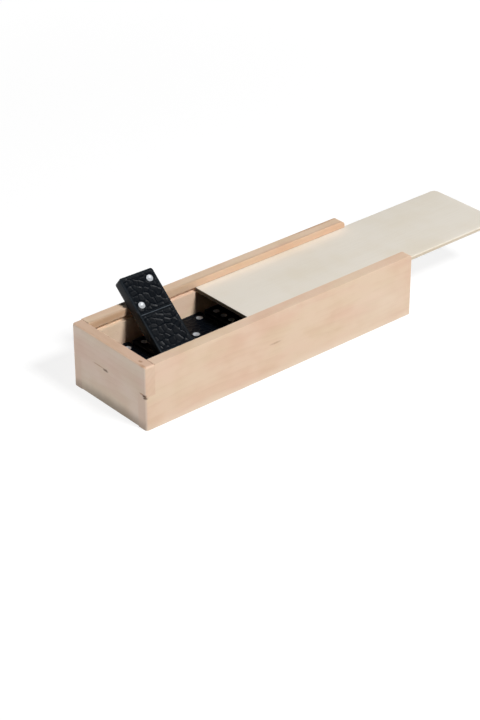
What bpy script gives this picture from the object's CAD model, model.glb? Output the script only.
# %% [markdown]
# # A domino box with a sliding lid
#
# The object is a small wooden box: pale beech boards glued into a tray, a thin plywood lid that slides
# in grooves, and black dominoes with silver pips inside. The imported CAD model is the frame: it says
# where each piece is and how it moves. This script gives every piece its real surface.

import math

import bmesh
import bpy
import numpy as np
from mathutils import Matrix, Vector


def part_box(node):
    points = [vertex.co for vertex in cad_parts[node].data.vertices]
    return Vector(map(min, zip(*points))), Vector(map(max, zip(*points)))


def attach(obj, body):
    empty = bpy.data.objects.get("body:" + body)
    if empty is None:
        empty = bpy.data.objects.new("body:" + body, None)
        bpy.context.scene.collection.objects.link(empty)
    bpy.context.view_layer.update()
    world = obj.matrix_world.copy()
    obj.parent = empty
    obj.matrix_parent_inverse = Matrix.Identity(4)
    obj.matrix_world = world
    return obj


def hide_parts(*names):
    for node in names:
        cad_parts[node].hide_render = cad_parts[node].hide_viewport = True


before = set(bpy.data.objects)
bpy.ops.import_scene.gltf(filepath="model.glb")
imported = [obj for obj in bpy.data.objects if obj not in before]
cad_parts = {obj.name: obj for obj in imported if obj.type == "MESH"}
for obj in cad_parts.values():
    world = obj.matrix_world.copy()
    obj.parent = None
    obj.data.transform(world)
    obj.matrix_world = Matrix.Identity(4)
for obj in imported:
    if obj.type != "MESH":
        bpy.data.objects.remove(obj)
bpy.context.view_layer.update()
MM = 0.001

# %% [markdown]
# ## The view
#
# The photograph looks down on the near long side from the closed end. Its camera was worked out from
# the box's straight edges, so its place is a distance and two angles round the box. The picture was cut
# out of a bigger one, which leaves the box above and right of the middle: a small lens shift says that,
# without turning the camera.

# %% Camera
VIEW_AZIMUTH = math.radians(-40.76)
VIEW_ELEVATION = math.radians(29.35)
VIEW_DISTANCE = 1.100
AIM_HEIGHT = 20 * MM
PICTURE_H = 720
FOCAL_PX = 2017.7
OFF_RIGHT_PX = 7.5
OFF_UP_PX = 44.0
FILM_MM = 36


def place_camera():
    """The camera stands at a distance along the line of sight, and its film is parallel to the view."""
    cam = bpy.data.cameras.new("view")
    cam.sensor_width = FILM_MM
    cam.lens = FOCAL_PX / PICTURE_H * FILM_MM
    cam.shift_x = -OFF_RIGHT_PX / PICTURE_H
    cam.shift_y = -OFF_UP_PX / PICTURE_H
    cam.clip_start = 0.05
    eye = bpy.data.objects.new("view", cam)
    back = np.array([math.sin(VIEW_AZIMUTH) * math.cos(VIEW_ELEVATION),
                     -math.cos(VIEW_AZIMUTH) * math.cos(VIEW_ELEVATION),
                     math.sin(VIEW_ELEVATION)])
    eye.location = np.array([0, 0, AIM_HEIGHT]) + VIEW_DISTANCE * back
    eye.rotation_euler = (math.pi / 2 - VIEW_ELEVATION, 0, VIEW_AZIMUTH)
    bpy.context.scene.collection.objects.link(eye)
    bpy.context.scene.camera = eye
    return eye


eye = place_camera()
bpy.context.scene.view_settings.view_transform = "Standard"
print("lens", round(eye.data.lens, 1), "mm, at", np.round(eye.location, 3))

# %% [markdown]
# ## Materials as expressions
#
# A procedural finish is arithmetic on a few patterns. Wiring that by hand takes pages, so a `Wire` wraps
# one output socket: `a * 0.5 + b` adds the Math nodes, and `1 - a` works too. Everything that isn't
# arithmetic comes from one method, `Finish.node`.


# %% Wires and finishes
class Wire:
    """One output of a node tree. Arithmetic on it adds a Math node and gives that node's output."""

    def __init__(self, finish, socket):
        self.finish = finish
        self.socket = socket

    def __add__(self, other):
        return self.finish.math("ADD", self, other)

    def __radd__(self, other):
        return self.finish.math("ADD", other, self)

    def __sub__(self, other):
        return self.finish.math("SUBTRACT", self, other)

    def __rsub__(self, other):
        return self.finish.math("SUBTRACT", other, self)

    def __mul__(self, other):
        return self.finish.math("MULTIPLY", self, other)

    def __rmul__(self, other):
        return self.finish.math("MULTIPLY", other, self)

    def __truediv__(self, other):
        return self.finish.math("DIVIDE", self, other)

    def __rtruediv__(self, other):
        return self.finish.math("DIVIDE", other, self)

    def __neg__(self):
        return self.finish.math("MULTIPLY", self, -1)

    def __abs__(self):
        return self.finish.math("ABSOLUTE", self)

    def clamped(self):
        """Held between 0 and 1."""
        return self.finish.math("ADD", self, 0, clamp=True)

    def most(self, other):
        """The larger of the two."""
        return self.finish.math("MAXIMUM", self, other)

    def root(self):
        """The square root."""
        return self.finish.math("SQRT", self)

    def fraction(self):
        """What is over the last whole number: it climbs from 0 to 1 again and again."""
        return self.finish.math("FRACT", self)

    def bell(self, middle, width):
        """1 at middle, falling off on both sides as exp(-((x - middle) / width) squared)."""
        away = (self - middle) / width
        return self.finish.math("EXPONENT", -(away * away))

    def step(self, low, high):
        """0 below low, 1 above high, and an even, smooth climb between."""
        inputs = {"Value": self, "From Min": low, "From Max": high}
        return self.finish.node("ShaderNodeMapRange", {"interpolation_type": "SMOOTHSTEP"}, inputs)


class Finish:
    """A material with a Principled shader, and the one way to add any other node to it."""

    def __init__(self, name, **constants):
        self.material = bpy.data.materials.new(name)
        self.material.use_nodes = True
        self.tree = self.material.node_tree
        self.shader = self.tree.nodes["Principled BSDF"]
        self.feed(**constants)

    def node(self, kind, settings=None, inputs=None, output=0):
        """Adds a node: its settings first, then a value or a Wire for each input. Gives one output."""
        made = self.tree.nodes.new(kind)
        for key, value in (settings or {}).items():
            setattr(made, key, value)
        for key, value in (inputs or {}).items():
            self.join(value, made.inputs[key])
        return Wire(self, made.outputs[output])

    def join(self, value, socket):
        """Links a Wire to the socket, or sets the socket's own value."""
        if isinstance(value, Wire):
            self.tree.links.new(value.socket, socket)
        elif socket.type == "RGBA":
            socket.default_value = (*value, 1)
        else:
            socket.default_value = value

    def feed(self, **values):
        """Sets the shader's sockets. An underscore stands for the space in a socket's name."""
        for name, value in values.items():
            self.join(value, self.shader.inputs[name.replace("_", " ")])

    def math(self, operation, *values, clamp=False):
        """A Math node on one or two values."""
        settings = {"operation": operation, "use_clamp": clamp}
        return self.node("ShaderNodeMath", settings, dict(enumerate(values)))

    def mix(self, low, high, amount, blend="MIX"):
        """The colour low where amount is 0 and high where it is 1. A Mix node has a set of sockets for
        each type of data, all named alike, and the colour ones are inputs 6 and 7 and output 2."""
        settings = {"data_type": "RGBA", "blend_type": blend}
        return self.node("ShaderNodeMix", settings, {0: amount, 6: low, 7: high}, output=2)

    def vector(self, operation, first, second):
        """A Vector Math node on two vectors."""
        return self.node("ShaderNodeVectorMath", {"operation": operation}, {0: first, 1: second})

    def noise(self, where, scale=1.0, detail=2.0, roughness=0.5):
        """Cloudy noise from 0 to 1, about scale lumps in each unit of where."""
        inputs = {"Vector": where, "Scale": scale, "Detail": detail, "Roughness": roughness}
        return self.node("ShaderNodeTexNoise", None, inputs)

    def axes(self, vector):
        """The three numbers of a vector."""
        split = self.node("ShaderNodeSeparateXYZ", None, {0: vector}).socket.node
        return [Wire(self, output) for output in split.outputs]

    def millimetres(self):
        """The point on the piece, in millimetres from the middle of the box's underside."""
        place = self.node("ShaderNodeTexCoord", output="Object")
        return self.vector("MULTIPLY", place, (1000, 1000, 1000))

    def facing(self):
        """The way the surface faces, in the piece's own axes."""
        return self.axes(self.node("ShaderNodeTexCoord", output="Normal"))

    def away(self, where, middle, size):
        """Distance from middle, counted in sizes, which differ along the three axes."""
        scaled = self.vector("DIVIDE", self.vector("SUBTRACT", where, middle), size)
        return self.node("ShaderNodeVectorMath", {"operation": "LENGTH"}, {0: scaled}, output="Value")

    def bump(self, height, distance):
        """A normal for a height from 0 to 1 that stands for that distance in metres."""
        return self.node("ShaderNodeBump", None, {"Height": height, "Distance": distance})


def level(*levels):
    """Screen levels from 0 to 255 as the linear colour that a shader wants."""
    part = np.array(levels) / 255
    linear = np.where(part <= 0.04045, part / 12.92, ((part + 0.055) / 1.055) ** 2.4)
    return tuple(linear.tolist())


print("a sanded beech of", np.round(level(228, 198, 172), 3))

# %% [markdown]
# ## Solid beech
#
# Beech is pale and even: faint growth rings, fine fibres, and short brown flecks that follow the grain.
# A wood texture wrapped on the faces would break at each arris. So the pattern is worked out in space,
# as if the board were sawn from a trunk: the rings are distance from a far-off pith, everything is drawn
# out along the grain, and the cut ends show end grain by themselves.

# %% Beech
PITH_AWAY = 85
RING_WIDTH = 3.6
BEECH = level(230, 204, 181)
BEECH_ROSY = level(229, 196, 172)
BEECH_STRAW = level(227, 203, 174)
BEECH_LATE = level(206, 168, 139)
BEECH_END = level(219, 188, 163)
FLECK = level(165, 120, 90)
DIRT = level(92, 66, 50)
SOIL = level(84, 76, 64)
GREYED = level(212, 190, 174)
PALE = level(238, 220, 200)
BROWNED = level(186, 143, 106)


def smudge(f, place, base, middle, size, colour, strength):
    """A soft mark: base turns to colour inside an ellipsoid, whose edge is frayed more on a small mark."""
    fray = (f.noise(place, 2.4 / sorted(size)[1], 3.0) - 0.5) * (0.9 * min(1, 12 / max(size)))
    amount = 1 - (f.away(place, middle, size) + fray).step(0.2, 1.0)
    return f.mix(base, colour, amount * strength)


def beech(name, across=False, shift=(0, 0, 0), face_tone=(1, 1, 1), edge_tone=(1, 1, 1), marks=()):
    """Beech with its grain along the box, or across it. Each mark is a middle, size, colour and strength."""
    f = Finish(name, Specular_IOR_Level=0.25)
    place = f.millimetres()
    x, y, z = f.axes(f.vector("ADD", place, shift))
    nx, ny, _ = f.facing()
    grain, side, cut, broad = (y, x, ny, nx) if across else (x, y, nx, ny)
    end = abs(cut).step(0.6, 0.95)

    def drawn(along, crossways):
        """The point with the grain's direction and the two others scaled."""
        parts = {0: grain * along, 1: side * crossways, 2: z * crossways}
        return f.node("ShaderNodeCombineXYZ", None, parts)

    sway = f.noise(drawn(0.006, 0.03)) * 26
    off_pith = ((side - 30) * (side - 30) + (z + PITH_AWAY) * (z + PITH_AWAY)).root()
    ring = ((off_pith + sway) / RING_WIDTH).fraction()
    late = ring.step(0.3, 0.93) * (1 - ring.step(0.93, 1.0))
    fibre = f.noise(drawn(0.05, 2.2), detail=5.0, roughness=0.6)
    fine = f.noise(drawn(0.25, 7.0), detail=3.0)
    patch = f.noise(drawn(0.022, 0.07))
    cloud = f.noise(drawn(0.04, 0.06), 1.3)
    fleck = f.noise(drawn(0.4, 3.0), detail=1.0).step(0.69, 0.78)
    pores = f.noise(place, 3.0, 4.0, 0.7)

    base = f.mix(BEECH_ROSY, BEECH_STRAW, patch.step(0.32, 0.68))
    base = f.mix(base, BEECH, cloud.step(0.3, 0.7) * 0.6)
    darker = (late * 0.09 + (fibre - 0.5) * 0.3 + (fine - 0.5) * 0.2 + (0.5 - cloud) * 0.9 + 0.04).clamped()
    base = f.mix(base, BEECH_LATE, darker)
    base = f.mix(base, FLECK, fleck * (1 - end) * 0.2)
    base = f.mix(base, BEECH_END, end * (0.35 + late * 0.2 + (pores - 0.5) * 0.5).clamped())
    tone = f.mix(edge_tone, face_tone, abs(broad).step(0.4, 0.9))
    base = f.mix(base, tone, 1 - end, blend="MULTIPLY")
    for mark in marks:
        base = smudge(f, place, base, *mark)
    height = fibre * 0.5 + fine * 0.4 - fleck * 0.4 - late * 0.15 - end * pores
    f.feed(Base_Color=base, Roughness=fibre * 0.16 + end * 0.12 + 0.5, Normal=f.bump(height, 0.00005))
    return f.material


SIDE_WOOD = beech("side_beech", marks=[
    ((-6.5, -31, 19.3), (5.5, 3, 0.9), FLECK, 0.45),
    ((-95, 0, 8), (1.3, 400, 400), GREYED, 0.9),
    ((-95, 0, 0), (1.3, 70, 8), SOIL, 0.5),
    ((-95, -30.2, 19.4), (2.4, 2.4, 1.1), DIRT, 0.9),
    ((0, -31, -1), (300, 2, 6), PALE, 0.5),
    ((72, -31, 14), (34, 2, 20), PALE, 0.35),
    ((0, 24.5, 35.5), (400, 2.2, 5), BROWNED, 0.45),
    ((-74, 24.5, 35.4), (24, 1.2, 2.6), BROWNED, 0.55),
    ((76, 31, 37.6), (30, 2, 1.8), BROWNED, 0.75),
    ((95, 28.5, 36.5), (3, 5, 2.5), BROWNED, 0.55),
])
END_WOOD = beech("end_beech", across=True, shift=(40, 12, 9),
                 face_tone=(0.88, 0.95, 1.06), edge_tone=(0.9, 0.83, 0.83), marks=[
    ((-95, 8.5, 21.8), (3, 7, 0.6), FLECK, 0.6),
    ((-95, 2.6, 21.3), (3, 2.8, 1.1), DIRT, 0.85),
    ((-95, -27.6, 21.0), (2, 2.6, 0.8), FLECK, 0.75),
    ((-95, -29.6, 20.3), (2, 2.2, 1.5), DIRT, 1.0),
    ((-92.4, -24, 37.7), (1.3, 1.9, 1), FLECK, 0.75),
    ((-94.2, -28, 37.4), (1.3, 3.4, 1.5), FLECK, 0.5),
    ((-95, 0, 37.7), (1.3, 400, 1.3), BROWNED, 0.4),
    ((-95, -6, 0), (3, 60, 8.5), SOIL, 0.55),
])
EXIT_WOOD = beech("exit_beech", across=True, shift=(-20, 31, 4), edge_tone=(0.92, 0.89, 0.87))
print("beech on the sides, the closed end and the exit end")

# %% [markdown]
# ## Thin plywood
#
# The lid and the base are three-ply sheet with a pale, nearly grainless face. The face gets fine lines
# and a slow change of tone. The edge gets the layers: the middle ply turns its end grain outwards and
# looks darker. The layers are a function of height alone, so every edge shows the same stack. The edge
# that meets the closed end is grey from years of fingers pushing it home.

# %% Plywood
PLY_FACE = level(236, 229, 217)
PLY_WARM = level(232, 223, 207)
PLY_LINE = level(214, 203, 184)
PLY_CORE = level(203, 186, 160)
PLY_HANDLED = level(84, 75, 65)
BASE_T = 5


def plywood(name, bottom, thickness, shift=(0, 0, 0), tone=(1, 1, 1)):
    """A sheet whose face grain runs along the box, of three plies from bottom up."""
    f = Finish(name, Specular_IOR_Level=0.3)
    place = f.millimetres()
    moved = f.vector("ADD", place, shift)
    nx, _, nz = f.facing()
    edge = 1 - abs(nz).step(0.5, 0.9)
    lines = f.noise(f.vector("MULTIPLY", moved, (0.03, 1.6, 1.6)), detail=5.0, roughness=0.65)
    pore = f.noise(f.vector("MULTIPLY", moved, (0.3, 5.5, 5.5)), detail=2.0).step(0.66, 0.8)
    cloud = f.noise(f.vector("MULTIPLY", moved, (0.016, 0.04, 0.04)))
    curl = f.noise(f.vector("MULTIPLY", moved, (0.09, 0.05, 0.05)))
    ply = (f.axes(place)[2] - bottom) / thickness
    core = ply.bell(0.5, 0.17)
    base = f.mix(PLY_FACE, PLY_WARM, (cloud * 0.7 + curl * 0.3).step(0.35, 0.65))
    base = f.mix(base, PLY_LINE, ((lines - 0.46) * 0.6).clamped() + pore * 0.25)
    base = f.mix(base, PLY_CORE, edge * (core * 0.75 + 0.2))
    base = f.mix(base, PLY_HANDLED, (1 - nx.step(-0.95, -0.6)) * (curl * 0.2 + 0.75))
    base = f.mix(base, tone, 1.0, blend="MULTIPLY")
    height = lines * 0.6 - pore * 0.5 - edge * core
    f.feed(Base_Color=base, Roughness=lines * 0.14 + edge * 0.1 + 0.48, Normal=f.bump(height, 0.00004))
    return f.material


LID_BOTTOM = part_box("lid")[0][2] / MM
LID_PLY = plywood("lid_plywood", LID_BOTTOM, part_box("lid")[1][2] / MM - LID_BOTTOM)
BASE_PLY = plywood("base_plywood", 0, BASE_T, shift=(50, 20, 7), tone=(0.94, 0.9, 0.85))
print("plywood for the lid, from", round(LID_BOTTOM, 2), "mm up, and for the base")

# %% [markdown]
# ## Boards with grooves and rebates
#
# A joiner planes a board, then saws rebates and grooves out of it. A boolean would copy that, but leaves
# untidy faces to bevel. Here the board is a grid of unequal cells, some wood and some air. Its skin is
# every face between wood and air, found by comparing the array with itself moved one cell along.
# Round corners come from squeezing a corner's square into a quarter disc.

# %% Board skins
INNER_W = 49
INNER_L = 177.4
BOX_L = 190
BOX_W = 62
BOX_H = 37.7
REBATE = 3
GROOVE_Z = 30.6
GROOVE_H = 2.9
GROOVE_D = 2.2
FINGER_Z = 20
CORNER_R = 1.6
LIP_R = 3
# How near a face an edge counts as lying on it, and how far each kind of edge is eased
ON_FACE = 0.1
PLAIN_EASE = 0.2
SEAM_EASE = 0.06
FOOT_EASE = 0.6
SIDE_RIM_EASE = 0.8
END_RIM_EASE = 1.1
END_RIM_INNER_EASE = 0.5
EXIT_TOP_EASE = 0.6
ARC = np.tan(np.radians(np.linspace(0, 45, 6)))


def cuts(*numbers):
    """All the numbers in rising order, each one once."""
    return np.unique(np.round(np.concatenate([np.atleast_1d(n) for n in numbers]), 5))


def toward(end, radius, sign):
    """Cuts near an end, spaced so that they give even steps of an arc of that radius."""
    return end + sign * radius * (ARC - 1)


def squeeze(points, pair, corner, signs, radius):
    """Turns a square corner into a quarter disc: a point's offset from the arc's centre is scaled by
    the longer of its two parts over its length, so the square's edge lands on the arc."""
    centre = np.array(corner) - radius * np.array(signs)
    offset = (points[:, pair] - centre) * signs
    inside = (offset > 1e-9).all(axis=1)
    part = offset[inside]
    part *= (part.max(axis=1) / np.linalg.norm(part, axis=1))[:, None]
    points[np.ix_(inside, pair)] = centre + part * signs
    return points


def board_skin(xs, ys, zs, is_wood):
    """Corners and faces of the skin. is_wood says of each cell's middle whether it is wood."""
    lines = [xs, ys, zs]
    middles = [(line[1:] + line[:-1]) / 2 for line in lines]
    wood = np.pad(is_wood(*np.meshgrid(*middles, indexing="ij")), 1).astype(int)
    faces = []
    for axis in range(3):
        others = [slice(1, -1)] * 3
        others[axis] = slice(None)
        change = np.diff(wood[tuple(others)], axis=axis)
        right, up = np.eye(3, dtype=int)[[(axis + 1) % 3, (axis + 2) % 3]]
        for sign, ring in ((1, (0 * up, up, up + right, right)), (-1, (0 * up, right, up + right, up))):
            corner = np.argwhere(change == sign)
            quad = [np.ravel_multi_index((corner + step).T, [len(line) for line in lines]) for step in ring]
            faces.append(np.stack(quad, axis=1))
    used, faces = np.unique(np.concatenate(faces), return_inverse=True)
    grid = np.stack(np.meshgrid(*lines, indexing="ij"), axis=-1).reshape(-1, 3)
    return grid[used], faces.reshape(-1, 4)


def piece_from(name, points, faces, material):
    """An object at the origin whose mesh is in metres. points are in millimetres, in the box's place."""
    mesh = bpy.data.meshes.new(name)
    mesh.from_pydata((points * MM).tolist(), [], [list(face) for face in faces])
    mesh.materials.append(material)
    mesh.polygons.foreach_set("use_smooth", np.ones(len(mesh.polygons), dtype=bool))
    piece = bpy.data.objects.new(name, mesh)
    bpy.context.scene.collection.objects.link(piece)
    return piece


def eased(piece, radius_at, widest):
    """Eases the board's arrises: coplanar cells are joined, and a bevel follows each sharp edge's radius."""
    bm = bmesh.new()
    bm.from_mesh(piece.data)
    bmesh.ops.dissolve_limit(bm, angle_limit=0.01, verts=bm.verts, edges=bm.edges)
    weight = bm.edges.layers.float.new("bevel_weight_edge")
    for edge in bm.edges:
        if edge.calc_face_angle(0) > 0.5:
            middle = (edge.verts[0].co + edge.verts[1].co) / 2 / MM
            edge[weight] = radius_at(*middle) / widest
    bm.to_mesh(piece.data)
    bm.free()
    bevel = piece.modifiers.new("arrises", "BEVEL")
    bevel.limit_method = "WEIGHT"
    bevel.width = widest * MM
    bevel.segments = 3
    bevel.harden_normals = True
    return piece


print("an arc in", len(ARC) - 1, "+", len(ARC) - 1, "steps")

# %% [markdown]
# ## The two long sides
#
# Both sides are one board, mirrored. The lid's groove runs out through the exit end, the base's rebate
# stops inside the ends. The corner joint has one big finger: below it the side runs to the box's end,
# above it the end board does. The top corner over the exit end is round, and the rim is worn smoother
# than the other edges. Where boards are glued and sanded flush, only a hairline is left between them.


# %% Long sides
def long_side(name, hand):
    """hand is -1 for the near side and 1 for the far side."""
    xs = cuts(toward(-BOX_L / 2, CORNER_R, -1), -INNER_L / 2 - REBATE, -INNER_L / 2,
              INNER_L / 2 + REBATE, toward(BOX_L / 2, LIP_R, 1), toward(BOX_L / 2, CORNER_R, 1))
    ys = cuts(toward(BOX_W / 2, CORNER_R, 1), INNER_W / 2 + REBATE, INNER_W / 2 + GROOVE_D, INNER_W / 2)
    zs = cuts(0, BASE_T, FINGER_Z, GROOVE_Z, GROOVE_Z + GROOVE_H, toward(BOX_H, LIP_R, 1))

    def is_wood(x, y, z):
        """Wood, except where the closed end's finger lies, in the lid's groove and in the base's rebate."""
        finger = (x > -INNER_L / 2) | (z < FINGER_Z)
        groove = (z > GROOVE_Z) & (z < GROOVE_Z + GROOVE_H) & (y < INNER_W / 2 + GROOVE_D)
        rebate = (z < BASE_T) & (abs(x) < INNER_L / 2 + REBATE) & (y < INNER_W / 2 + REBATE)
        return finger & ~groove & ~rebate

    points, faces = board_skin(xs, ys, zs, is_wood)
    points = squeeze(points, [0, 2], (BOX_L / 2, BOX_H), (1, 1), LIP_R)
    for end in (-1, 1):
        points = squeeze(points, [0, 1], (end * BOX_L / 2, BOX_W / 2), (end, 1), CORNER_R)
    if hand < 0:
        points[:, 1] *= -1
        faces = faces[:, ::-1]

    def radius(x, y, z):
        """The rim is eased most, the foot less, a glued seam by a hairline and all other edges a little."""
        if z > GROOVE_Z + GROOVE_H + 1 and x > -INNER_L / 2 + ON_FACE:
            return SIDE_RIM_EASE
        if z < ON_FACE and (abs(y) > BOX_W / 2 - ON_FACE or x < ON_FACE - BOX_L / 2):
            return FOOT_EASE
        return SEAM_EASE if x < ON_FACE - INNER_L / 2 else PLAIN_EASE

    piece = eased(piece_from(name + "_board", points, faces, SIDE_WOOD), radius, SIDE_RIM_EASE)
    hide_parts(name)
    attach(piece, "tray")
    return piece


def closed_end_board():
    """The full-height end: over the finger line it runs across both sides, under it only between them."""
    xs = cuts(toward(-BOX_L / 2, CORNER_R, -1), -INNER_L / 2 - REBATE, -INNER_L / 2)
    half = cuts(INNER_W / 2, INNER_W / 2 + GROOVE_D, toward(BOX_W / 2, CORNER_R, 1))
    zs = cuts(0, BASE_T, FINGER_Z, GROOVE_Z, GROOVE_Z + GROOVE_H, BOX_H)

    def is_wood(x, y, z):
        """Wood between the sides and over the finger line, less the lid's groove and the base's rebate."""
        finger = (abs(y) < INNER_W / 2) | (z > FINGER_Z)
        inside = x > -INNER_L / 2 - REBATE
        groove = inside & (z > GROOVE_Z) & (z < GROOVE_Z + GROOVE_H) & (abs(y) < INNER_W / 2 + GROOVE_D)
        return finger & ~groove & ~(inside & (z < BASE_T))

    points, faces = board_skin(xs, cuts(-half, half), zs, is_wood)
    for hand in (-1, 1):
        points = squeeze(points, [0, 1], (-BOX_L / 2, hand * BOX_W / 2), (-1, hand), CORNER_R)

    def radius(x, y, z):
        """The outer top edge is eased most, the inner one less, and the seams with the sides hardly."""
        if z > BOX_H - ON_FACE:
            return END_RIM_EASE if x < -INNER_L / 2 - ON_FACE else END_RIM_INNER_EASE
        if x < -BOX_L / 2 + ON_FACE and z < ON_FACE:
            return FOOT_EASE
        return SEAM_EASE if abs(y) > INNER_W / 2 - ON_FACE else PLAIN_EASE

    return eased(piece_from("closed_end_board", points, faces, END_WOOD), radius, END_RIM_EASE)


def exit_end_board():
    """The low end between the sides. The lid slides over its top edge, which is worn round."""
    xs = cuts(INNER_L / 2, INNER_L / 2 + REBATE, BOX_L / 2)
    points, faces = board_skin(xs, cuts(-INNER_W / 2, INNER_W / 2), cuts(0, BASE_T, GROOVE_Z),
                               lambda x, y, z: (x > INNER_L / 2 + REBATE) | (z > BASE_T))
    return eased(piece_from("exit_end_board", points, faces, EXIT_WOOD),
                 lambda x, y, z: EXIT_TOP_EASE if z > GROOVE_Z - ON_FACE else PLAIN_EASE, EXIT_TOP_EASE)


sides = [long_side("near_side", -1), long_side("far_side", 1)]
ends = [closed_end_board(), exit_end_board()]
for board, node in zip(ends, ("closed_end", "exit_end")):
    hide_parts(node)
    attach(board, "tray")
for board in sides + ends:
    print(board.name, len(board.data.polygons), "faces before the arrises are eased")

# %% [markdown]
# ## Slabs
#
# The lid, the base and the dominoes are all slabs: a flat plan with round corners, a top, a wall and an
# underside. So one function makes them. The top is a grid of points, and `dip` says how deep each point
# lies under the flat face, which is nothing for the lid and a whole relief for a domino.


# %% Slabs
SHEET_SPACING = 3.0
ROUND_ANGLES = [22.5, 45, 67.5, 90]


def plan(u, v, half_u, half_v, radii):
    """Squeezes a rectangle's corners into arcs, as squeeze does, and gives the outward direction too.
    radii are for the corners at the low and the high end of v."""
    radius = np.where(v < 0, *np.maximum(radii, 1e-6))
    flat = np.stack([u, v], -1)
    room = np.stack([half_u - radius, half_v - radius], -1)
    core = np.clip(flat, -room, room)
    offset = flat - core
    longest = np.abs(offset).max(-1, keepdims=True)
    length = np.maximum(np.linalg.norm(offset, axis=-1, keepdims=True), 1e-9)
    return core + offset * longest / length, offset / length


def slab(size_u, size_v, height, radii, edge, spacing, dip=None):
    """Points and faces of a slab centred on its own origin, its underside at 0.

    The top is a grid of u and v, drawn in by the edge radius. Its rim goes on as rings: at each angle
    from 0 to 90 degrees they lie edge * sin outwards and edge * (1 - cos) down, then the same below."""
    half = np.array([size_u, size_v]) / 2 - edge
    steps = np.maximum(np.round(2 * half / spacing).astype(int), 2)
    u, v = np.meshgrid(*(np.linspace(-reach, reach, n + 1) for reach, n in zip(half, steps)))
    inner = np.array(radii) - edge
    flat, _ = plan(u, v, *half, inner)
    depth = np.zeros(flat.shape[:2]) if dip is None else dip(flat[..., 0], flat[..., 1])
    number = np.arange(u.size).reshape(u.shape)
    rim = np.concatenate([number[0, :-1], number[:-1, -1], number[-1, :0:-1], number[:0:-1, 0]])
    depth.flat[rim] = 0
    top = np.concatenate([flat, height - depth[..., None]], -1).reshape(-1, 3)
    outward = plan(u.flat[rim], v.flat[rim], *half, inner)[1]
    turn = np.radians(ROUND_ANGLES)
    out = edge * np.sin(np.append(turn, turn[::-1]))
    high = np.append(height - edge * (1 - np.cos(turn)), edge * (1 - np.cos(turn[::-1])))
    out = np.append(out, 0)
    high = np.append(high, 0)
    rings = top[rim][None, :, :2] + outward[None] * out[:, None, None]
    rings = np.concatenate([rings, np.broadcast_to(high[:, None, None], rings.shape[:2] + (1,))], -1)
    loops = np.vstack([rim, u.size + np.arange(rings[..., 0].size).reshape(len(out), -1)])
    after = np.roll(loops, -1, axis=1)
    wall = np.stack([loops[:-1], loops[1:], after[1:], after[:-1]], -1).reshape(-1, 4)
    face = np.stack([number[:-1, :-1], number[:-1, 1:], number[1:, 1:], number[1:, :-1]], -1).reshape(-1, 4)
    faces = np.concatenate([face, wall]).tolist() + [loops[-1][::-1].tolist()]
    return np.concatenate([top, rings.reshape(-1, 3)]), faces


def put(points, middle, turned=False):
    """Moves a slab's points to their place; turned lays its length along the box."""
    if turned:
        points = points[:, [1, 0, 2]] * (1, -1, 1)
    return points + middle


def sheet_piece(name, radii, edge, material, body):
    """A plain slab that fills a CAD node's box, which is as long as the box is."""
    low, high = (np.array(corner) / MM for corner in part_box(name))
    points, faces = slab(high[1] - low[1], high[0] - low[0], high[2] - low[2], radii, edge,
                         SHEET_SPACING)
    points = put(points, ((low[0] + high[0]) / 2, (low[1] + high[1]) / 2, low[2]), turned=True)
    piece = piece_from(name + "_sheet", points, faces, material)
    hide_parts(name)
    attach(piece, body)
    print(name, np.round(high - low, 2), "mm")


sheet_piece("lid", (0.5, 3), 0.35, LID_PLY, "lid")
sheet_piece("base_panel", (0.4, 0.4), 0.25, BASE_PLY, "tray")

# %% [markdown]
# ## A moulded domino
#
# A domino is pressed from black plastic. Its face has a smooth border, a fine rib between two grooves
# across the middle, dished pips, and a rough field that hides scratches. The field here is a plain
# generic one: seeds are scattered in it, each with a flat facet of its own tilt, and a ridge stands where
# two seeds are equally near. All of it is one depth function over the face, so `slab` carves it in one go.

# %% Domino relief
TILE_W = 22
TILE_L = 47
TILE_T = 6.3
TILE_R = 1.4
TILE_EDGE = 0.5
PIP_PITCH = 6.4
PIP_R = 2.1
PIP_DEPTH = 0.6
BORDER = 1.3
FIELD_DEPTH = 0.38
RIB_W = 0.6
SCORE_W = 0.6
SCORE_DEPTH = 0.35
CELL = 3.9
ROW = 0.87
SEED_JITTER = 0.36
SEED_TILT = 0.09
RIDGE_SOFT = 0.62
DIMPLE_DEPTH = 0.12
DIMPLE_R = 0.75
NO_PIP = 9.0


def smooth(value, low, high):
    """0 below low, 1 above high, 3t^2 - 2t^3 between."""
    t = np.clip((value - low) / (high - low), 0, 1)
    return t * t * (3 - 2 * t)


def pip_places(pips):
    """The pips' middles. pips are the counts on the near and far half."""
    spots = []
    for half, count in enumerate(pips):
        steps = [(0, 0)] * (count % 2)
        steps += [(1, 1), (-1, -1)] * (count >= 2)
        steps += [(-1, 1), (1, -1)] * (count >= 4)
        steps += [(1, 0), (-1, 0)] * (count == 6)
        spots += [(a * PIP_PITCH, (half - 0.5) * TILE_L / 2 + b * PIP_PITCH) for a, b in steps]
    return np.array(spots).reshape(-1, 2)


def pip_distance(u, v, pips):
    """Distance to the nearest pip's rim, below 0 inside it."""
    spots = pip_places(pips)
    if not len(spots):
        return np.full(np.shape(u), NO_PIP)
    away = np.hypot(np.expand_dims(u, -1) - spots[:, 0], np.expand_dims(v, -1) - spots[:, 1])
    return away.min(-1) - PIP_R


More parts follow.
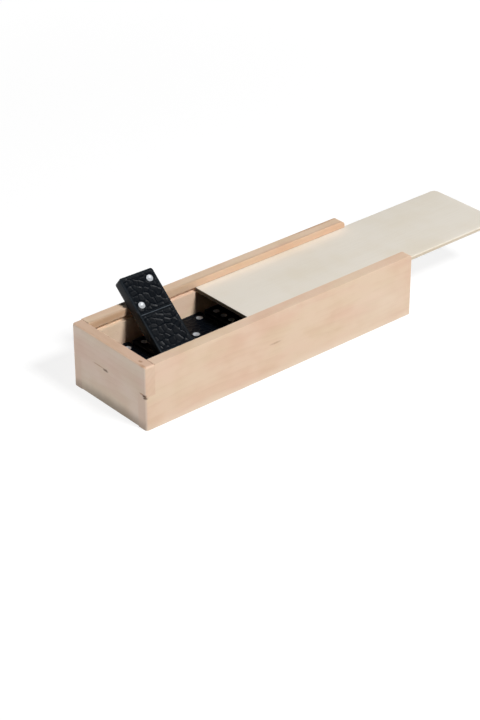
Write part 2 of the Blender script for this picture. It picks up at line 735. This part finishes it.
def pebbles(u, v, seed):
    """Height from 0 to 1: ridges where the nearest and second-nearest seeds are equally far, each pair's
    of its own height, and between them facets that rise along a slope of their own seed."""
    random = np.random.default_rng(seed)
    across, along = np.meshgrid(np.arange(-12, 13, CELL), np.arange(-25, 26, CELL * ROW))
    across = across + (np.arange(along.shape[0]) % 2)[:, None] * CELL / 2
    seeds = np.stack([across, along], -1).reshape(-1, 2)
    seeds = seeds + random.uniform(-SEED_JITTER, SEED_JITTER, seeds.shape) * CELL
    slope = random.uniform(-SEED_TILT, SEED_TILT, seeds.shape)
    away = np.hypot(np.expand_dims(u, -1) - seeds[:, 0], np.expand_dims(v, -1) - seeds[:, 1])
    order = np.argsort(away, axis=-1)
    near = np.take_along_axis(away, order[..., :2], -1)
    share = np.sin(order[..., 0] * order[..., 1] * 7.31 + order[..., :2].sum(-1) * 1.7) ** 2
    ridge = (0.25 + 0.75 * share) * np.exp(-(((near[..., 1] - near[..., 0]) / RIDGE_SOFT) ** 2))
    own, tilt = seeds[order[..., 0]], slope[order[..., 0]]
    facet = 0.25 + (u - own[..., 0]) * tilt[..., 0] + (v - own[..., 1]) * tilt[..., 1]
    return np.clip(facet + ridge * (1 - 0.7 * np.clip(facet, 0, 1)), 0, 1)


def face_depth(u, v, pips, seed):
    """How deep the face lies: the border is at the top, the field under it, pips and lines cut in."""
    to_edge = np.minimum(TILE_W / 2 - abs(u), TILE_L / 2 - abs(v))
    to_pip = pip_distance(u, v, pips)
    field = smooth(to_edge, BORDER, BORDER + 0.5) * smooth(to_pip, 0.35, 0.9) * smooth(abs(v), 1.1, 1.6)
    depth = field * FIELD_DEPTH * (1 - 0.9 * pebbles(u, v, seed))
    off_rib = abs(v) - RIB_W / 2
    groove = SCORE_DEPTH * smooth(off_rib, 0, 0.2) * (1 - smooth(off_rib, SCORE_W - 0.2, SCORE_W))
    groove = groove * smooth(to_edge, BORDER - 0.3, BORDER + 0.2)
    inside = np.clip(-to_pip / PIP_R, 0, 1)
    dish = PIP_DEPTH * (1 - (1 - inside) ** 2) * (to_pip < 0)
    dimple = DIMPLE_DEPTH * np.exp(-(((1 - inside) * PIP_R / DIMPLE_R) ** 2)) * (to_pip < 0)
    return depth + groove + dish + dimple


print("pips of a 5-3 stand at", pip_places([5, 3]).round(1).tolist())

# %% [markdown]
# ## Black plastic with silver pips
#
# The plastic is a very dark blue-grey with a soft sheen, matt in the field and polished where fingers
# rub the border. The pips are filled with silver paint, so their edge has to be crisp. Each domino
# carries two attributes for this: its own flat coordinates, and the distance to the nearest pip's rim.
# The patterns then lie on the face however the domino is turned.

# %% Domino finish
PLASTIC = level(6, 10, 16)
PLASTIC_RUBBED = level(36, 42, 47)
RIB_GREY = level(82, 88, 94)
SILVER = level(186, 189, 193)
SILVER_WORN = level(104, 106, 110)


def domino_finish():
    """Plastic that is paler where it is rubbed, and silver inside each pip's rim."""
    f = Finish("black_plastic", Specular_IOR_Level=0.09)
    own = f.node("ShaderNodeAttribute", {"attribute_name": "own_place"}, output="Vector")
    rim = f.node("ShaderNodeAttribute", {"attribute_name": "pip_rim"}, output="Fac")
    high = f.node("ShaderNodeAttribute", {"attribute_name": "rubbed"}, output="Fac")
    grain = f.noise(own, 5.0, 3.0, 0.6)
    cloud = f.noise(own, 0.22)
    scuff = f.noise(f.vector("MULTIPLY", own, (0.5, 6.0, 1.0)), 1.0, 3.0).step(0.62, 0.8)
    paint = 1 - (rim + (grain - 0.5) * 0.16).step(-0.24, -0.08)
    worn = f.noise(own, 1.9, 4.0, 0.7).step(0.58, 0.75) * 0.4
    pool = 1 - (rim + 1.35).step(-0.5, 0.1)
    base = f.mix(PLASTIC, PLASTIC_RUBBED, (high * 0.45 + (cloud - 0.5) * 0.35 + scuff * 0.12).clamped())
    base = f.mix(base, RIB_GREY, (high - 1).clamped())
    silver = f.mix(SILVER, SILVER_WORN, (worn + pool * 0.35).clamped())
    base = f.mix(base, silver, paint)
    plain = 0.37 - high * 0.05 + (grain - 0.5) * 0.14
    f.feed(Base_Color=base, Metallic=paint * 0.2, Roughness=plain + paint * 0.06)
    f.feed(Normal=f.bump(grain * 0.5 + scuff * 0.3, 0.00004))
    return f.material


PLASTIC_FINISH = domino_finish()
print("one finish for", len([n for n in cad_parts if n.startswith("domino")]), "dominoes")

# %% [markdown]
# ## The dominoes in the box
#
# Seven columns lie across the box in two layers, each a little out of line, as they slide about when the
# box is carried. Their places repeat the CAD's values. One domino stands on the stack and leans on the
# far rim. The faces that show get a fine grid, and the hidden layer a coarse one.

# %% Dominoes
COLUMN_GAP = 2.925
DRIFT_ALONG = [0.05, -0.3, 0.1, 0.02, -0.12, 0.2, -0.05]
DRIFT_ACROSS = [0.5, 0.1, 0.9, 0.8, 0.2, -0.4, 0.6]
UPPER_PIPS = [[5, 3], [1, 4], [1, 2], [3, 6], [5, 5], [4, 0], [6, 2]]
LOWER_PIPS = [[4, 4], [0, 6], [2, 5], [3, 3], [1, 6], [0, 1], [5, 6]]
PROPPED_PIPS = [0, 2]
PROP_X = 42
PROP_Y = -1.5
PROP_TURN = 2
PROP_GAP = 0.3
# How far apart the points of a face lie, and the number that starts each layer's random draws
PROPPED_SPACING = 0.22
SHOWN_SPACING = 0.3
UNDER_LID_SPACING = 0.45
LOWER_SPACING = 0.7
SHOWN_COLUMNS = 4
PROPPED_SEED = 5
LOWER_SEED = 20
UPPER_SEED = 40


def domino(name, pips, seed, spacing, place, body):
    """Carves a domino at the origin, keeps its own coordinates as attributes, then puts it in place."""
    points, faces = slab(TILE_W, TILE_L, TILE_T, (TILE_R, TILE_R), TILE_EDGE, spacing,
                         lambda u, v: face_depth(u, v, pips, seed))
    u, v, w = points.T
    rim = np.where(w > TILE_T - TILE_EDGE - 0.9, pip_distance(u, v, pips), NO_PIP)
    to_edge = np.minimum(TILE_W / 2 - abs(u), TILE_L / 2 - abs(v))
    rubbed = smooth(BORDER + 0.3 - to_edge, 0, 0.6) * smooth(w, TILE_T - 1.2, TILE_T - 0.1)
    rubbed = np.maximum(rubbed, smooth(w, TILE_T - 0.2, TILE_T - 0.04) * 0.45)
    on_rib = (1 - smooth(abs(v), RIB_W / 2 - 0.1, RIB_W / 2 + 0.1)) * smooth(to_edge, BORDER - 0.3, BORDER)
    rubbed = np.where(w > TILE_T - 0.1, np.maximum(rubbed, on_rib * 1.8), rubbed)
    piece = piece_from(name + "_moulded", place(points), faces, PLASTIC_FINISH)
    own = piece.data.attributes.new("own_place", "FLOAT_VECTOR", "POINT")
    own.data.foreach_set("vector", (points + (seed * 31, seed * 17, 0)).astype(np.float32).ravel())
    for label, values in (("pip_rim", rim), ("rubbed", rubbed)):
        layer = piece.data.attributes.new(label, "FLOAT", "POINT")
        layer.data.foreach_set("value", values.astype(np.float32))
    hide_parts(name)
    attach(piece, body)
    return piece


def stacked(column, bottom):
    """The place of a column's domino in the layer whose underside is at bottom."""
    x = -INNER_L / 2 + column * (TILE_W + COLUMN_GAP) - TILE_W / 2 + DRIFT_ALONG[column - 1] * COLUMN_GAP
    return lambda points: put(points, (x, DRIFT_ACROSS[column - 1], bottom))


def propped(points):
    """Tilts the domino about its lower edge so that its underside clears the rim, then turns it."""
    foot = BASE_T + 2 * TILE_T + PROP_GAP
    turn = math.radians(PROP_TURN)
    reach = (INNER_W / 2 - PROP_Y) * math.cos(turn) - TILE_W / 2 * math.sin(turn)
    rise = BOX_H - foot
    slope = math.atan2(rise, reach) + math.asin(PROP_GAP / math.hypot(reach, rise))
    u, v, w = (points + (0, TILE_L / 2, 0)).T
    v, w = v * math.cos(slope) - w * math.sin(slope), v * math.sin(slope) + w * math.cos(slope)
    u, v = u * math.cos(turn) + v * math.sin(turn), v * math.cos(turn) - u * math.sin(turn)
    return np.stack([u, v, w], -1) + (PROP_X - BOX_L / 2, PROP_Y, foot)


def room(piece, node):
    """How far the piece stays inside the node's box: at its low corner, and at its high one."""
    points = np.empty(3 * len(piece.data.vertices))
    piece.data.vertices.foreach_get("co", points)
    points = points.reshape(-1, 3)
    low, high = np.array(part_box(node))
    return np.round((points.min(0) - low) / MM, 2), np.round((high - points.max(0)) / MM, 2)


dominoes = {"domino_propped": domino("domino_propped", PROPPED_PIPS, PROPPED_SEED, PROPPED_SPACING,
                                     propped, "propped_domino")}
for column in range(1, len(UPPER_PIPS) + 1):
    fine = SHOWN_SPACING if column <= SHOWN_COLUMNS else UNDER_LID_SPACING
    for layer, bottom, pips, first_seed, spacing in (
            ("lower", BASE_T, LOWER_PIPS, LOWER_SEED, LOWER_SPACING),
            ("upper", BASE_T + TILE_T, UPPER_PIPS, UPPER_SEED, fine)):
        node = f"domino_{layer}_{column}"
        dominoes[node] = domino(node, pips[column - 1], first_seed + column, spacing,
                                stacked(column, bottom), "tray")
for node in ("domino_propped", "domino_upper_1"):
    print(node, "inside the CAD by", *room(dominoes[node], node), "mm")

# %% [markdown]
# ## A white table and soft light
#
# A product shot stands on white and is lit by one soft lamp. A floor that is really lit up to white would
# need light that bleaches the wood. So whatever looks at the floor, straight or in a reflection, sees a
# little glow of its own on it, and the light that it sends back onto the box is that of plain pale paint.
# The shadow under the box stays, because the glow is the same inside it and outside it. Round the floor
# stands a low white backdrop, which is clear to all other light. The fill lamps are strips no higher than
# the box, so that they brighten its outer sides and leave the inside in its own deep shade.

# %% Floor, backdrop and world
FLOOR_SIZE = 6
BACKDROP_AWAY = 2.9
BACKDROP_HIGH = 1.1
FLOOR_GLOW = 0.86
FLOOR_SEEN = 0.2
FLOOR_BOUNCE = 0.25
SKY_LOW = 0.4
SKY_HIGH = 0.01
SKY_LOW_UP_TO = 0.1
SKY_HIGH_FROM = 0.22
# Millimetres from the middle, between which the floor's glow climbs
NEAR_FLOOR = 300
FAR_FLOOR = 1100
WALL_STEPS = 64
LOW_LAMP = 19 * MM
STRIP_WIDE = 1.2
STRIP_HIGH = 0.034


def looked_at(f):
    """1 on a ray that looks at the surface: from the camera, in a reflection or through glass."""
    path = f.node("ShaderNodeLightPath").socket.node
    straight, mirrored, through = (Wire(f, path.outputs[f"Is {kind} Ray"])
                                   for kind in ("Camera", "Glossy", "Transmission"))
    return straight.most(mirrored).most(through)


def stage_piece(name, points, faces, f):
    """A piece of the studio. Its glow isn't a lamp, so no light is sampled from it."""
    mesh = bpy.data.meshes.new(name)
    mesh.from_pydata(points, [], faces)
    mesh.materials.append(f.material)
    f.material.cycles.emission_sampling = "NONE"
    piece = bpy.data.objects.new(name, mesh)
    bpy.context.scene.collection.objects.link(piece)


def white_floor():
    """The glow climbs to full white far off, where the lamp's light thins out."""
    f = Finish("floor_white", Roughness=0.9, Specular_IOR_Level=0.1, Emission_Strength=1)
    seen = looked_at(f)
    x, y, _ = f.axes(f.millimetres())
    far = (x * x + y * y).root().step(NEAR_FLOOR, FAR_FLOOR)
    f.feed(Emission_Color=f.mix((0, 0, 0), (1, 1, 1), seen * (far * (1 - FLOOR_GLOW) + FLOOR_GLOW)))
    f.feed(Base_Color=f.mix((FLOOR_BOUNCE,) * 3, (FLOOR_SEEN,) * 3, seen))
    h = FLOOR_SIZE / 2
    stage_piece("floor", [(-h, -h, 0), (h, -h, 0), (h, h, 0), (-h, h, 0)], [(0, 1, 2, 3)], f)


def white_backdrop():
    """A low wall on a circle: the angle goes round, and each step has a point at the foot and the top."""
    f = Finish("backdrop_white", Roughness=1, Specular_IOR_Level=0, Emission_Strength=1)
    f.feed(Base_Color=(0, 0, 0), Emission_Color=(1, 1, 1), Alpha=looked_at(f))
    turn = np.linspace(0, 2 * math.pi, WALL_STEPS, endpoint=False)
    foot = np.stack([np.cos(turn), np.sin(turn), 0 * turn], -1) * BACKDROP_AWAY
    number = np.arange(WALL_STEPS)
    after = np.roll(number, -1)
    faces = np.stack([number, number + WALL_STEPS, after + WALL_STEPS, after], -1).tolist()
    points = np.vstack([foot, foot + (0, 0, BACKDROP_HIGH)]).tolist()
    stage_piece("backdrop", points, faces, f)


def studio_world():
    """Pale light from low down on every side, which thins out to a dim ceiling."""
    world = bpy.data.worlds.new("studio")
    world.use_nodes = True
    bpy.context.scene.world = world
    tree = world.node_tree
    up = tree.nodes.new("ShaderNodeSeparateXYZ")
    tree.links.new(tree.nodes.new("ShaderNodeTexCoord").outputs["Generated"], up.inputs[0])
    light = tree.nodes.new("ShaderNodeMapRange")
    settings = {"From Min": SKY_LOW_UP_TO, "From Max": SKY_HIGH_FROM, "To Min": SKY_LOW, "To Max": SKY_HIGH}
    for socket, value in settings.items():
        light.inputs[socket].default_value = value
    tree.links.new(up.outputs[2], light.inputs["Value"])
    glow = tree.nodes["Background"]
    glow.inputs["Color"].default_value = (1, 1, 1, 1)
    tree.links.new(light.outputs[0], glow.inputs["Strength"])


def soft_lamp(name, place, aim, wide, high, watts):
    """A flat lamp that faces its aim."""
    lamp = bpy.data.lights.new(name, "AREA")
    lamp.shape = "RECTANGLE"
    lamp.size = wide
    lamp.size_y = high
    lamp.energy = watts
    holder = bpy.data.objects.new(name, lamp)
    direction = np.array(aim) - np.array(place)
    flat = math.hypot(direction[0], direction[1])
    holder.location = place
    holder.rotation_euler = (math.pi / 2 + math.atan2(direction[2], flat), 0,
                             math.atan2(direction[1], direction[0]) - math.pi / 2)
    bpy.context.scene.collection.objects.link(holder)


white_floor()
white_backdrop()
studio_world()
soft_lamp("key", (0.212, -1.093, 1.297), (-0.04, 0, 0.02), 0.36, 0.28, 32.3)
soft_lamp("left_fill", (-1.6, 0, LOW_LAMP), (-0.05, 0, LOW_LAMP), STRIP_WIDE, STRIP_HIGH, 12.5)
soft_lamp("exit_fill", (1.7, 0, LOW_LAMP), (0.1, 0, LOW_LAMP), STRIP_WIDE, STRIP_HIGH, 8)
soft_lamp("back_fill", (0, 1.6, LOW_LAMP), (0, 0, LOW_LAMP), STRIP_WIDE, STRIP_HIGH, 12)
print("floor", FLOOR_SIZE, "m, sky", SKY_LOW, "down to", SKY_HIGH, "overhead")
